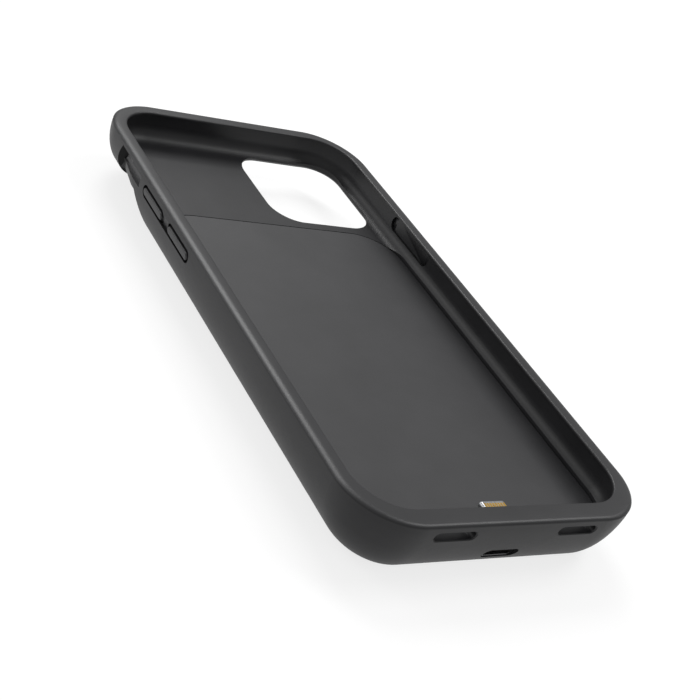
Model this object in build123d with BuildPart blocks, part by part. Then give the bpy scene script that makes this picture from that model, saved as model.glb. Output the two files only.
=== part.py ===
from build123d import *
import os
from math import cos, radians, sin, sqrt, tan

# Battery charging case, lying on its back.
# Origin under the middle of the case, +Z from the back to the front, +Y to the camera end. Millimetres.
os.makedirs("parts", exist_ok=True)

# Bay: the hollow that the case closes round, open to the front
bay_length = 146.9
bay_width = 71.7
bay_height = 7.5
bay_corner = 12.4
bay_floor_edge = 3.6

# Walls of the outer shell
side_wall = 2.1
top_wall = 2.1
chin_wall = 3.5
back_wall = 1.2
upper_back_wall = 1.5

# Rounded back: elliptical from the flat up to the rim, wider along the sides than across the ends
back_side_reach = 8.3
back_end_reach = 6.4
back_sections = 7
upper_back_reach = 4.6

# Ramp from the battery bulge up to the thin camera end, which it meets just inside the camera window
ramp_overlap = 1.8
ramp_angle = 45.0
ramp_foot_radius = 2.5
ramp_foot_lead = 6.0

# Front rim: a soft frame that is moulded onto the wall, crowned so that it falls to the outside
lip_reach = 1.5
lip_thickness = 0.6
rim_height = 0.9
crown_width = 1.6
crown_drop = 0.5
crown_edge = 0.35
crown_blend = 3.0
lip_edge = 0.4
tongue_width = 1.0
tongue_depth = 0.3

# Battery space and the tray that closes it
cell_room = 4.6
cavity_edge = 4.0
tray_thickness = 1.1
tray_margin = 1.4
tray_ledge = 1.45
tray_edge = 0.15
tray_to_window = 2.75

# Clearances: a snug seat, and the room round a tray or a block
fit_gap = 0.05
seat_gap = 0.12

# Camera window through the back, flared to the outside
window_size = 31.0
window_corner = 8.0
window_side = 2.1
window_top = 2.4
window_flare = 1.0
window_lead = 0.1

# Switch scoop in the left wall, turned in from the wall like a ramp, and the window at its bottom
scoop_run_from_top = 27.95
scoop_turn = 9.5
scoop_toe = 0.15
scoop_lead = 0.05
scoop_length = 13.0
scoop_drop = 1.3
scoop_end_from_top = 20.55
scoop_end_slant = 0.8
scoop_end_lean = 0.56
scoop_window_from_top = 33.8
scoop_window_length = 16.0
scoop_window_height = 3.0
scoop_window_drop = 3.25

# Keys in the side walls: caps with a flange behind the skin of the wall
key_drop = 3.4
key_height = 2.5
volume_key_length = 12.3
volume_up_from_top = 42.8
volume_down_from_top = 58.7
side_key_length = 18.0
side_key_from_top = 46.75
key_proud = 0.3
key_edge = 0.25
key_gap = 0.4
key_skin = 1.0
key_travel = 0.5
flange_reach = 0.6
flange_gap = 0.12
bridge_depth = 0.7

# Sound slots in the chin
sound_slot_length = 10.3
sound_slot_height = 2.1
sound_slot_x = 16.2
sound_slot_drop = 3.1
slot_edge = 0.35

# Charge port: a metal receptacle in the middle of the chin
port_width = 8.94
port_height = 3.0
port_depth = 7.3
port_recess = 0.3
port_metal = 0.3
port_floor = 1.6
port_tongue_width = 6.6
port_tongue_height = 0.7
port_tongue_length = 4.4
port_tab = 0.8
tray_skin = 0.2

# Plug in the bay, its base and its board in a pocket of the chin
plug_width = 6.7
plug_thickness = 1.5
plug_length = 6.6
plug_nose = 0.4
contact_count = 8
contact_pitch = 0.72
contact_width = 0.45
contact_length = 3.2
contact_thickness = 0.05
contact_setback = 0.8
plug_base_width = 16.0
plug_base_low = 3.0
plug_base_high = 2.0
plug_base_corner = 0.3
chin_skin = 1.25
plug_board_thickness = 0.5

# Ribbon from the plug's board down to the main board
flex_x = 6.6
flex_width = 2.0
flex_thickness = 0.2
flex_bend = 0.5
flex_drop = 1.1
flex_rise = 0.8
flex_tail = 3.0

# Main board on four bosses
board_width = 56.0
board_length = 20.0
board_thickness = 0.8
parts_room = 1.4
board_end_gap = 0.6
board_corner = 3.0
screw_inset = 3.2
boss_diameter = 4.0
screw_diameter = 1.2
screw_length = 1.8
screw_head_diameter = 2.4
screw_head_height = 0.6

# Parts on the front of the main board: place from its centre, and size
inductor_at = (-15.0, 0.0)
inductor_size = 6.6
inductor_height = 1.15
inductor_core = 5.2
inductor_waist = 0.35
charge_chip_at = (-1.0, 2.5)
charge_chip_size = 4.0
boost_chip_at = (12.0, 2.5)
boost_chip_size = 5.0
chip_height = 0.85
chip_edge = 0.12
capacitor_at = (6.5, -3.5)
capacitor_columns = 5
capacitor_rows = 2
capacitor_pitch = 2.6
capacitor_length = 1.6
capacitor_width = 0.8

# Power key on the back, the switch above it, and four lamps with their light guide
power_at = (10.0, -1.0)
power_length = 10.0
power_width = 5.0
power_sunk = 0.15
power_travel = 0.3
power_flange = 0.45
power_stem = 2.4
dish_reach = 2.0
dish_depth = 0.3
switch_length = 4.0
switch_width = 3.0
switch_height = 0.8
plunger_diameter = 1.8
plunger_height = 0.3
lamp_at = (-8.0, -1.0)
lamp_count = 4
lamp_pitch = 3.0
lamp_length = 1.6
lamp_width = 0.8
lamp_height = 0.6
guide_length = 12.0
guide_width = 2.6
guide_pip = 1.4
guide_sunk = 0.1
guide_gap = 0.2

# Pouch cell with its terrace, protection board, tape and two leads
cell_corner = 2.0
cell_edge = 0.9
cell_end_gap = 0.3
cell_side_gap = 1.0
cell_swell = 0.35
terrace_width = 44.0
terrace_length = 3.6
terrace_thickness = 1.0
cell_board_width = 36.0
cell_board_length = 3.2
cell_board_thickness = 0.8
tape_width = 40.0
tape_length = 62.0
tape_thickness = 0.15
lead_diameter = 0.8
lead_span = 3.45
lead_x = 12.0
lead_bend = 1.5
lead_reach = 3.0


def edge_inset(reach, rise, height):
    """How far an elliptical edge, reach wide and rise high, stands in from its wall at a height."""
    drop = max(rise - height, 0) / rise
    return reach * (1 - sqrt(1 - drop**2))


# Levels and lines that follow from the sizes above
case_width = bay_width + 2 * side_wall
case_length = bay_length + top_wall + chin_wall
half_width = case_width / 2
half_length = case_length / 2
case_corner = bay_corner + side_wall
bay_y = (chin_wall - top_wall) / 2
bay_chin_y = chin_wall - half_length
bay_floor = back_wall + cell_room + tray_thickness
tray_under = bay_floor - tray_thickness
lip_under = bay_floor + bay_height
case_height = lip_under + lip_thickness
rim_under = case_height - rim_height
tongue_foot = rim_under - tongue_depth
upper_back = bay_floor - upper_back_wall
upper_rise = rim_under - upper_back
section_shares = [1 - sin(radians(90 * step / back_sections)) for step in range(back_sections + 1)]
window_x = bay_width / 2 - window_side - window_size / 2
window_y = half_length - top_wall - window_top - window_size / 2
window_low_y = window_y - window_size / 2
ramp_foot_y = window_low_y + ramp_overlap - upper_back / tan(radians(ramp_angle))
tray_width = bay_width - 2 * tray_margin
tray_low_y = bay_chin_y + tray_margin
tray_high_y = window_low_y - tray_to_window
tray_length = tray_high_y - tray_low_y
tray_y = (tray_high_y + tray_low_y) / 2
tray_corner = bay_corner - tray_margin
cavity_low_y = tray_low_y + tray_ledge
cavity_high_y = tray_high_y - tray_ledge
scoop_top = case_height - scoop_drop
key_z = case_height - key_drop
volume_up_y = half_length - volume_up_from_top
volume_down_y = half_length - volume_down_from_top
flange_thickness = side_wall - key_skin - fit_gap - key_travel
sound_slot_z = case_height - sound_slot_drop
port_z = bay_floor - tray_skin - fit_gap - port_height / 2
port_setback = edge_inset(back_end_reach, rim_under, port_z - port_height / 2) + port_recess
port_mouth_y = port_setback - half_length
port_end_y = port_mouth_y + port_depth
plug_z = bay_floor + bay_height / 2
pocket_back_y = chin_skin - half_length
plug_board_face_y = pocket_back_y + plug_board_thickness
board_top = tray_under - parts_room
board_under = board_top - board_thickness
board_low_y = cavity_low_y + board_end_gap
board_y = board_low_y + board_length / 2
screw_x = board_width / 2 - screw_inset
screw_y = board_length / 2 - screw_inset
cell_under = back_wall + tape_thickness
cell_thickness = cell_room - tape_thickness - cell_swell
cell_width = tray_width - 2 * (tray_ledge + cavity_edge + cell_side_gap)
cell_high_y = cavity_high_y - cavity_edge - cell_end_gap
cell_low_y = board_y + board_length / 2 + lead_span + terrace_length
cell_length = cell_high_y - cell_low_y
cell_y = (cell_high_y + cell_low_y) / 2
terrace_z = cell_under + (cell_thickness - terrace_thickness) / 2
cell_board_under = terrace_z + terrace_thickness
cell_board_top = cell_board_under + cell_board_thickness
plunger_face = board_under - switch_height - plunger_height
board_plane = Plane((0, board_y, board_top))
board_back = Plane((0, board_y, board_under))
outer_back = Plane((0, board_y, 0))
chin_face = Plane((0, -half_length, 0), x_dir=(1, 0, 0), z_dir=(0, -1, 0))
ramp_plane = Plane(
    (0, ramp_foot_y, 0),
    z_dir=(0, sin(radians(ramp_angle)), -cos(radians(ramp_angle))),
)
scoop_start = Plane(
    (-half_width - scoop_lead, half_length - scoop_run_from_top, upper_back),
    x_dir=(cos(radians(scoop_turn)), -sin(radians(scoop_turn)), 0),
    z_dir=(-sin(radians(scoop_turn)), -cos(radians(scoop_turn)), 0),
)
scoop_end = Plane(
    (-half_width, half_length - scoop_end_from_top, scoop_top),
    z_dir=(scoop_end_slant, 1, scoop_end_lean),
)
# Each key: which side it is on, its place along the case, and the length of its cap
side_keys = {
    "volume_up_button": (-1, volume_up_y, volume_key_length),
    "volume_down_button": (-1, volume_down_y, volume_key_length),
    "side_button": (1, half_length - side_key_from_top, side_key_length),
}


def bay_outline(grow=0):
    """Outline of the bay in the present sketch, grown by a distance all round."""
    with Locations((0, bay_y)):
        RectangleRounded(bay_width + 2 * grow, bay_length + 2 * grow, bay_corner + grow)


def tray_outline(grow=0):
    """Outline of the tray in the present sketch, grown by a distance all round."""
    with Locations((0, tray_y)):
        RectangleRounded(tray_width + 2 * grow, tray_length + 2 * grow, tray_corner + grow)


def window_outline(grow):
    """Outline of the camera window in the present sketch, grown by a distance all round."""
    with Locations((window_x, window_y)):
        RectangleRounded(window_size + 2 * grow, window_size + 2 * grow, window_corner + grow)


def pocket_outline(gap):
    """Outline of the plug's base on the chin, less a gap all round."""
    width = plug_base_width - 2 * gap
    with Locations((0, plug_z + (plug_base_high - plug_base_low) / 2)):
        RectangleRounded(width, plug_base_low + plug_base_high - 2 * gap, plug_base_corner)


def pan_outline(side_reach, end_reach, rise, height):
    """Outline of a pan with an elliptical edge, at a height above its flat back."""
    side = edge_inset(side_reach, rise, height)
    end = edge_inset(end_reach, rise, height)
    RectangleRounded(case_width - 2 * side, case_length - 2 * end, case_corner - (side + end) / 2)


# Hollow of the bay, with a rounded edge round its floor
with BuildPart() as bay_form:
    with BuildSketch(Plane.XY.offset(bay_floor)):
        bay_outline()
    extrude(amount=case_height)
    fillet(bay_form.faces().sort_by(Axis.Z)[0].edges(), bay_floor_edge)

# Hollow of the battery space, rounded to follow the back
with BuildPart() as cavity_form:
    with BuildSketch(Plane.XY.offset(back_wall)):
        tray_outline(-tray_ledge)
    extrude(amount=cell_room)
    fillet(cavity_form.faces().sort_by(Axis.Z)[0].edges(), cavity_edge)

# Thin camera end, a shallow pan that starts at the plane of the ramp
with BuildPart() as upper_form:
    for share in section_shares:
        height = share * upper_rise
        with BuildSketch(Plane.XY.offset(upper_back + height)):
            pan_outline(upper_back_reach, upper_back_reach, upper_rise, height)
    loft()
    split(bisect_by=ramp_plane, keep=Keep.TOP)

# Switch scoop: follows the wall and its rounded foot, turned inwards, up to a steep slanting end
with BuildPart() as scoop_form:
    with BuildSketch(scoop_start):
        with BuildLine():
            scoop_rise = scoop_top - upper_back
            Polyline(
                (upper_back_reach, -scoop_toe),
                (-2 * side_wall, -scoop_toe),
                (-2 * side_wall, scoop_rise),
                (0, scoop_rise),
            )
            EllipticalCenterArc(
                (upper_back_reach, scoop_rise),
                upper_back_reach,
                scoop_rise + scoop_toe,
                start_angle=180,
                arc_size=90,
            )
        make_face()
    extrude(amount=-scoop_length)
    # Window for the switch, through what the scoop leaves of the wall, up to the slanting end
    with BuildSketch(Plane.YZ.offset(-half_width)):
        with Locations((half_length - scoop_window_from_top, case_height - scoop_window_drop)):
            Rectangle(scoop_window_length, scoop_window_height, align=(Align.MIN, Align.CENTER))
    extrude(amount=side_wall + bay_floor_edge)
    split(bisect_by=scoop_end, keep=Keep.BOTTOM)

# Everything else that is moulded out of the walls and the back of the outer shell
with BuildPart() as shell_openings:
    # Slots and flange pockets of the side keys
    for side, along, length in side_keys.values():
        with BuildSketch(Plane.YZ.offset(side * (half_width + key_proud))):
            with Locations((along, key_z)):
                SlotOverall(length + 2 * key_gap, key_height + 2 * key_gap)
        extrude(amount=-side * (key_proud + key_skin))
        with BuildSketch(Plane.YZ.offset(side * (half_width - key_skin))):
            with Locations((along, key_z)):
                reach = 2 * (flange_reach + flange_gap)
                SlotOverall(length + reach, key_height + reach)
        extrude(amount=-side * side_wall)
    # Sunk bridge between the two volume keys, deepest along its lower edge
    with BuildSketch(Plane.XZ.offset(-volume_down_y)):
        with BuildLine():
            bridge_low = key_z - key_height / 2 - key_gap
            bridge_foot = edge_inset(back_side_reach, rim_under, bridge_low) + bridge_depth
            Polyline(
                (-half_width - key_proud, key_z + key_height / 2),
                (-half_width, key_z + key_height / 2),
                (-half_width + bridge_foot, bridge_low),
                (-half_width - key_proud, bridge_low),
                close=True,
            )
        make_face()
    extrude(amount=volume_down_y - volume_up_y)
    # Sound slots through the chin, with a bevelled mouth
    for across in (-sound_slot_x, sound_slot_x):
        with BuildSketch(chin_face):
            with Locations((across, sound_slot_z)):
                SlotOverall(sound_slot_length, sound_slot_height)
        extrude(amount=-chin_wall)
        with BuildSketch(chin_face.offset(slot_edge)):
            with Locations((across, sound_slot_z)):
                SlotOverall(sound_slot_length + 4 * slot_edge, sound_slot_height + 4 * slot_edge)
        extrude(amount=-2 * slot_edge, taper=45)
    # Tunnel of the charge port, from the chin into the battery space
    with BuildSketch(chin_face):
        with Locations((0, port_z)):
            SlotOverall(port_width + 2 * seat_gap, port_height + 2 * fit_gap)
    extrude(amount=-(half_length + cavity_low_y + cavity_edge))
    # Pocket for the plug's base and board, and the channel of its ribbon
    with BuildSketch(chin_face.offset(-chin_wall)):
        pocket_outline(0)
    extrude(amount=chin_wall - chin_skin)
    with BuildSketch(chin_face.offset(-chin_wall)):
        pocket_outline(0)
    extrude(amount=-bay_floor_edge)
    channel_rise = plug_z - plug_base_low + seat_gap - board_top
    channel_run = cavity_low_y + cavity_edge - plug_board_face_y
    for length, height in ((2 * flex_bend, channel_rise), (channel_run, flex_bend + flex_thickness)):
        with BuildSketch(Plane.XY.offset(board_top)):
            with Locations((flex_x, plug_board_face_y + flex_drop - flex_bend)):
                Rectangle(flex_width + 2 * seat_gap, length, align=(Align.CENTER, Align.MIN))
        extrude(amount=height)
    # Seats of the tray and of the rim's tongue
    with BuildSketch(Plane.XY.offset(tray_under)):
        tray_outline(seat_gap)
    extrude(amount=tray_thickness + bay_floor_edge)
    with BuildSketch(Plane.XY.offset(tongue_foot)):
        bay_outline(tongue_width + fit_gap)
    extrude(amount=tongue_depth)
    # Camera window, which widens towards the back
    with BuildSketch(Plane.XY.offset(bay_floor + bay_floor_edge)):
        window_outline(0)
    extrude(amount=-upper_back_wall - bay_floor_edge)
    with BuildSketch(Plane.XY.offset(upper_back + window_flare)):
        window_outline(0)
    with BuildSketch(Plane.XY.offset(upper_back - window_lead)):
        window_outline(window_flare + window_lead)
    loft(ruled=True)
    with BuildSketch(Plane.XY.offset(upper_back - window_lead)):
        window_outline(window_flare + window_lead)
    extrude(amount=-upper_back)
    # Dish and hole of the power key, and the holes of the light guide
    with BuildSketch(outer_back):
        with Locations(power_at):
            SlotOverall(power_length + 2 * dish_reach, power_width + 2 * dish_reach)
    extrude(amount=dish_depth)
    with BuildSketch(outer_back):
        with Locations(power_at):
            SlotOverall(power_length + 2 * key_gap, power_width + 2 * key_gap)
        with Locations(lamp_at):
            with GridLocations(lamp_pitch, 0, lamp_count, 1):
                Circle(guide_pip / 2 + fit_gap)
    extrude(amount=back_wall)

# Outer shell: one moulding with the walls, the bulged back and every opening in them
with BuildPart() as outer_shell:
    for share in section_shares:
        height = share * rim_under
        with BuildSketch(Plane.XY.offset(height)):
            pan_outline(back_side_reach, back_end_reach, rim_under, height)
    loft()
    # Ramp across the back with a rounded foot, carried on to the front so that only the battery half stays
    with BuildSketch(Plane.YZ):
        with BuildLine():
            lead = radians(ramp_foot_lead)
            slope = radians(ramp_angle)
            foot_rise = ramp_foot_radius * (cos(lead) - cos(slope))
            foot_end_y = ramp_foot_y + foot_rise / tan(slope)
            foot_start_y = foot_end_y - ramp_foot_radius * (sin(slope) - sin(lead))
            TangentArc(
                (foot_start_y, 0),
                (foot_end_y, foot_rise),
                tangent=(cos(lead), sin(lead)),
            )
            Polyline(
                (foot_end_y, foot_rise),
                (ramp_foot_y + case_height / tan(slope), case_height),
                (case_length, case_height),
                (case_length, -case_height),
                (foot_start_y - ramp_foot_radius, -case_height),
                (foot_start_y - ramp_foot_radius, -ramp_foot_radius * tan(lead)),
                (foot_start_y, 0),
            )
        make_face()
    extrude(amount=case_width, both=True, mode=Mode.SUBTRACT)
    add(upper_form.part)
    add(bay_form.part, mode=Mode.SUBTRACT)
    add(cavity_form.part, mode=Mode.SUBTRACT)
    # Bosses for the main board, each with the hole of its screw
    with BuildSketch(Plane.XY.offset(back_wall / 2)):
        with Locations((0, board_y)):
            with GridLocations(2 * screw_x, 2 * screw_y, 2, 2):
                Circle(boss_diameter / 2)
    extrude(amount=board_under - back_wall / 2)
    with BuildSketch(Plane.XY.offset(board_under)):
        with Locations((0, board_y)):
            with GridLocations(2 * screw_x, 2 * screw_y, 2, 2):
                Circle(screw_diameter / 2 + fit_gap)
    extrude(amount=-(screw_length - board_thickness + fit_gap), mode=Mode.SUBTRACT)
    add(scoop_form.part, mode=Mode.SUBTRACT)
    add(shell_openings.part, mode=Mode.SUBTRACT)
outer_shell.part.label = "outer_shell"
export_step(outer_shell.part, "parts/outer_shell.step")

# Front frame: soft crowned rim that overlaps the bay, with a tongue that seats inside the wall
with BuildPart() as front_frame:
    with BuildSketch(Plane.XY.offset(rim_under)):
        RectangleRounded(case_width, case_length, case_corner)
    extrude(amount=rim_height)
    rim_top = front_frame.faces().sort_by(Axis.Z)[-1]
    chamfer(rim_top.edges(), crown_width, crown_drop, reference=rim_top)
    crown_foot = rim_under + rim_height - crown_drop
    fillet(front_frame.edges().filter_by_position(Axis.Z, crown_foot, crown_foot), crown_edge)
    fillet(front_frame.faces().sort_by(Axis.Z)[-1].edges(), crown_blend)
    with BuildSketch(Plane.XY.offset(rim_under)):
        bay_outline()
    extrude(amount=lip_under - rim_under, mode=Mode.SUBTRACT)
    with BuildSketch(Plane.XY.offset(lip_under)):
        bay_outline(-lip_reach)
    extrude(amount=lip_thickness, mode=Mode.SUBTRACT)
    lip_top = front_frame.faces().sort_by(Axis.Z)[-1]
    fillet(lip_top.inner_wires()[0].edges(), lip_edge)
    with BuildSketch(Plane.XY.offset(tongue_foot)):
        bay_outline(tongue_width)
    extrude(amount=rim_under - tongue_foot)
    with BuildSketch(Plane.XY.offset(tongue_foot)):
        bay_outline()
    extrude(amount=lip_under - tongue_foot, mode=Mode.SUBTRACT)
front_frame.part.label = "front_frame"
export_step(front_frame.part, "parts/front_frame.step")

# Inner tray: floor of the bay over the battery space, relieved under the charge port
with BuildPart() as inner_tray:
    with BuildSketch(Plane.XY.offset(tray_under)):
        tray_outline()
    extrude(amount=tray_thickness)
    chamfer(inner_tray.faces().sort_by(Axis.Z)[-1].edges(), tray_edge)
    with BuildSketch(Plane.XY.offset(tray_under)):
        with Locations((0, tray_low_y)):
            relief = port_end_y + seat_gap - tray_low_y
            Rectangle(port_width + 2 * seat_gap, relief, align=(Align.CENTER, Align.MIN))
    extrude(amount=tray_thickness - tray_skin, mode=Mode.SUBTRACT)
inner_tray.part.label = "inner_tray"
export_step(inner_tray.part, "parts/inner_tray.step")

# Caps of the side keys: a rounded pill with a flange behind the skin of the wall
for name, (side, along, length) in side_keys.items():
    with BuildPart() as side_key:
        with BuildSketch(Plane.YZ.offset(side * (half_width + key_proud))):
            with Locations((along, key_z)):
                SlotOverall(length, key_height)
        extrude(amount=-side * (key_proud + key_skin + fit_gap))
        fillet(side_key.faces().sort_by(Axis.X)[-1 if side > 0 else 0].edges(), key_edge)
        with BuildSketch(Plane.YZ.offset(side * (half_width - key_skin - fit_gap))):
            with Locations((along, key_z)):
                SlotOverall(length + 2 * flange_reach, key_height + 2 * flange_reach)
        extrude(amount=-side * flange_thickness)
    side_key.part.label = name
    export_step(side_key.part, f"parts/{name}.step")

# Power button: pill cap in the dish on the back, with a flange and a stem that reaches for the switch
with BuildPart() as power_button:
    with BuildSketch(outer_back.offset(power_sunk)):
        with Locations(power_at):
            SlotOverall(power_length, power_width)
    extrude(amount=back_wall + fit_gap - power_sunk)
    fillet(power_button.faces().sort_by(Axis.Z)[0].edges(), key_edge)
    with BuildSketch(outer_back.offset(back_wall + fit_gap)):
        with Locations(power_at):
            SlotOverall(power_length + 2 * flange_reach, power_width + 2 * flange_reach)
    extrude(amount=power_flange)
    with BuildSketch(outer_back.offset(back_wall + fit_gap + power_flange)):
        with Locations(power_at):
            Circle(power_stem / 2)
    extrude(amount=plunger_face - power_travel - fit_gap - back_wall - fit_gap - power_flange)
power_button.part.label = "power_button"
export_step(power_button.part, "parts/power_button.step")

# Power switch: low switch under the main board, its plunger towards the key
with BuildPart() as power_switch:
    with BuildSketch(board_back):
        with Locations(power_at):
            Rectangle(switch_length, switch_width)
    extrude(amount=-switch_height)
    with BuildSketch(board_back.offset(-switch_height)):
        with Locations(power_at):
            Circle(plunger_diameter / 2)
    extrude(amount=-plunger_height)
power_switch.part.label = "power_switch"
export_step(power_switch.part, "parts/power_switch.step")

# Status lamps: four in a row under the main board
with BuildPart() as status_leds:
    with BuildSketch(board_back):
        with Locations(lamp_at):
            with GridLocations(lamp_pitch, 0, lamp_count, 1):
                Rectangle(lamp_length, lamp_width)
    extrude(amount=-lamp_height)
status_leds.part.label = "status_leds"
export_step(status_leds.part, "parts/status_leds.step")

# Light guide: clear bar on the inside of the back, with a pip through it for each lamp
with BuildPart() as light_guide:
    with BuildSketch(outer_back.offset(back_wall)):
        with Locations(lamp_at):
            SlotOverall(guide_length, guide_width)
    extrude(amount=board_under - lamp_height - guide_gap - back_wall)
    with BuildSketch(outer_back.offset(guide_sunk)):
        with Locations(lamp_at):
            with GridLocations(lamp_pitch, 0, lamp_count, 1):
                Circle(guide_pip / 2)
    extrude(amount=back_wall - guide_sunk)
light_guide.part.label = "light_guide"
export_step(light_guide.part, "parts/light_guide.step")

# Main board: notched round the charge port, with a hole over each boss
with BuildPart() as main_board:
    with BuildSketch(board_back):
        RectangleRounded(board_width, board_length, board_corner)
        with Locations((0, -board_length / 2)):
            notch = port_end_y + seat_gap - board_low_y
            Rectangle(port_width + 2 * seat_gap, 2 * notch, mode=Mode.SUBTRACT)
        with GridLocations(2 * screw_x, 2 * screw_y, 2, 2):
            Circle(screw_diameter / 2 + fit_gap, mode=Mode.SUBTRACT)
    extrude(amount=board_thickness)
main_board.part.label = "main_board"
export_step(main_board.part, "parts/main_board.step")

# Board screws: four pan heads down into the bosses
with BuildPart() as board_screws:
    with BuildSketch(board_plane):
        with GridLocations(2 * screw_x, 2 * screw_y, 2, 2):
            Circle(screw_head_diameter / 2)
    extrude(amount=screw_head_height)
    with BuildSketch(board_plane):
        with GridLocations(2 * screw_x, 2 * screw_y, 2, 2):
            Circle(screw_diameter / 2)
    extrude(amount=-screw_length)
board_screws.part.label = "board_screws"
export_step(board_screws.part, "parts/board_screws.step")

# Power inductor: square ferrite block with a round waist for its winding
with BuildPart() as power_inductor:
    with BuildSketch(board_plane):
        with Locations(inductor_at):
            RectangleRounded(inductor_size, inductor_size, inductor_waist)
    extrude(amount=inductor_waist)
    with BuildSketch(board_plane.offset(inductor_waist)):
        with Locations(inductor_at):
            Circle(inductor_core / 2)
    extrude(amount=inductor_height - 2 * inductor_waist)
    with BuildSketch(board_plane.offset(inductor_height - inductor_waist)):
        with Locations(inductor_at):
            RectangleRounded(inductor_size, inductor_size, inductor_waist)
    extrude(amount=inductor_waist)
power_inductor.part.label = "power_inductor"
export_step(power_inductor.part, "parts/power_inductor.step")

# Two controller chips, flat packages with bevelled upper edges
chips = {
    "charge_controller": (charge_chip_at, charge_chip_size),
    "boost_controller": (boost_chip_at, boost_chip_size),
}
for name, (place, size) in chips.items():
    with BuildPart() as chip:
        with BuildSketch(board_plane):
            with Locations(place):
                Rectangle(size, size)
        extrude(amount=chip_height)
        chamfer(chip.faces().sort_by(Axis.Z)[-1].edges(), chip_edge)
    chip.part.label = name
    export_step(chip.part, f"parts/{name}.step")

# Filter capacitors: two rows of small blocks
with BuildPart() as filter_capacitors:
    with BuildSketch(board_plane):
        with Locations(capacitor_at):
            with GridLocations(capacitor_pitch, capacitor_pitch, capacitor_columns, capacitor_rows):
                Rectangle(capacitor_length, capacitor_width)
    extrude(amount=capacitor_width)
filter_capacitors.part.label = "filter_capacitors"
export_step(filter_capacitors.part, "parts/filter_capacitors.step")

# Charge port: drawn metal sleeve with two feet that stand on the main board
with BuildPart() as charge_port_shell:
    with BuildSketch(chin_face.offset(-port_setback)):
        with Locations((0, port_z)):
            SlotOverall(port_width, port_height)
            SlotOverall(port_width - 2 * port_metal, port_height - 2 * port_metal, mode=Mode.SUBTRACT)
    extrude(amount=-port_depth)
    with BuildSketch(Plane.XY.offset(board_top)):
        with Locations((0, port_end_y)):
            back_edge = (Align.CENTER, Align.MAX)
            Rectangle(port_width + 2 * port_tab, port_tab, align=back_edge)
            Rectangle(port_width - 2 * port_metal, port_tab, align=back_edge, mode=Mode.SUBTRACT)
    extrude(amount=port_metal)
charge_port_shell.part.label = "charge_port_shell"
export_step(charge_port_shell.part, "parts/charge_port_shell.step")

# Insulator of the charge port: a block at the back with the tongue in front of it
with BuildPart() as charge_port_tongue:
    with BuildSketch(Plane.XZ.offset(-port_end_y)):
        with Locations((0, port_z)):
            inset = port_metal + fit_gap
            SlotOverall(port_width - 2 * inset, port_height - 2 * inset)
    extrude(amount=port_floor)
    with BuildSketch(Plane.XZ.offset(port_floor - port_end_y)):
        with Locations((0, port_z)):
            Rectangle(port_tongue_width, port_tongue_height)
    extrude(amount=port_tongue_length)
charge_port_tongue.part.label = "charge_port_tongue"
export_step(charge_port_tongue.part, "parts/charge_port_tongue.step")

# Plug board: stands in the back of the chin pocket
with BuildPart() as plug_board:
    with BuildSketch(chin_face.offset(-chin_skin)):
        pocket_outline(seat_gap)
    extrude(amount=-plug_board_thickness)
plug_board.part.label = "plug_board"
export_step(plug_board.part, "parts/plug_board.step")

# Plug tip: flat metal tab with rounded sides, from its board out into the bay
with BuildPart() as plug_tip:
    with BuildSketch(Plane.XZ.offset(-plug_board_face_y)):
        with Locations((0, plug_z)):
            SlotOverall(plug_width, plug_thickness)
    extrude(amount=-(bay_chin_y + plug_length - plug_board_face_y))
    fillet(plug_tip.faces().sort_by(Axis.Y)[-1].edges(), plug_nose)
plug_tip.part.label = "plug_tip"
export_step(plug_tip.part, "parts/plug_tip.step")

# Plug contacts: a row of pads on each face of the tip
with BuildPart() as plug_contacts:
    pad_y = bay_chin_y + plug_length - contact_setback - contact_length / 2
    for level in (plug_z + plug_thickness / 2, plug_z - plug_thickness / 2 - contact_thickness):
        with BuildSketch(Plane.XY.offset(level)):
            with Locations((0, pad_y)):
                with GridLocations(contact_pitch, 0, contact_count, 1):
                    Rectangle(contact_width, contact_length)
        extrude(amount=contact_thickness)
plug_contacts.part.label = "plug_contacts"
export_step(plug_contacts.part, "parts/plug_contacts.step")

# Plug base: block that fills the mouth of the chin pocket, relieved over the ribbon
with BuildPart() as plug_base:
    with BuildSketch(chin_face.offset(-chin_skin - plug_board_thickness)):
        pocket_outline(seat_gap)
        with Locations((0, plug_z)):
            SlotOverall(plug_width + 2 * fit_gap, plug_thickness + 2 * fit_gap, mode=Mode.SUBTRACT)
    extrude(amount=-(chin_wall - chin_skin - plug_board_thickness))
    with BuildSketch(Plane.XY.offset(plug_z - plug_base_low)):
        with Locations((flex_x, plug_board_face_y)):
            relief_length = flex_drop + flex_thickness + seat_gap
            Rectangle(flex_width + 2 * seat_gap, relief_length, align=(Align.CENTER, Align.MIN))
    extrude(amount=flex_rise + flex_thickness + 2 * seat_gap, mode=Mode.SUBTRACT)
plug_base.part.label = "plug_base"
export_step(plug_base.part, "parts/plug_base.step")

# Plug ribbon: from the foot of the plug board, down through the channel and onto the main board
with BuildPart() as plug_flex:
    with BuildSketch(Plane.YZ.offset(flex_x - flex_width / 2)):
        with BuildLine() as ribbon:
            FilletPolyline(
                (plug_board_face_y, plug_z - plug_base_low + seat_gap + flex_rise),
                (plug_board_face_y + flex_drop, plug_z - plug_base_low + seat_gap + flex_rise),
                (plug_board_face_y + flex_drop, board_top + flex_thickness / 2),
                (board_low_y + flex_tail, board_top + flex_thickness / 2),
                radius=flex_bend,
            )
        trace(ribbon.line, flex_thickness)
    extrude(amount=flex_width)
plug_flex.part.label = "plug_flex"
export_step(plug_flex.part, "parts/plug_flex.step")

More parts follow.
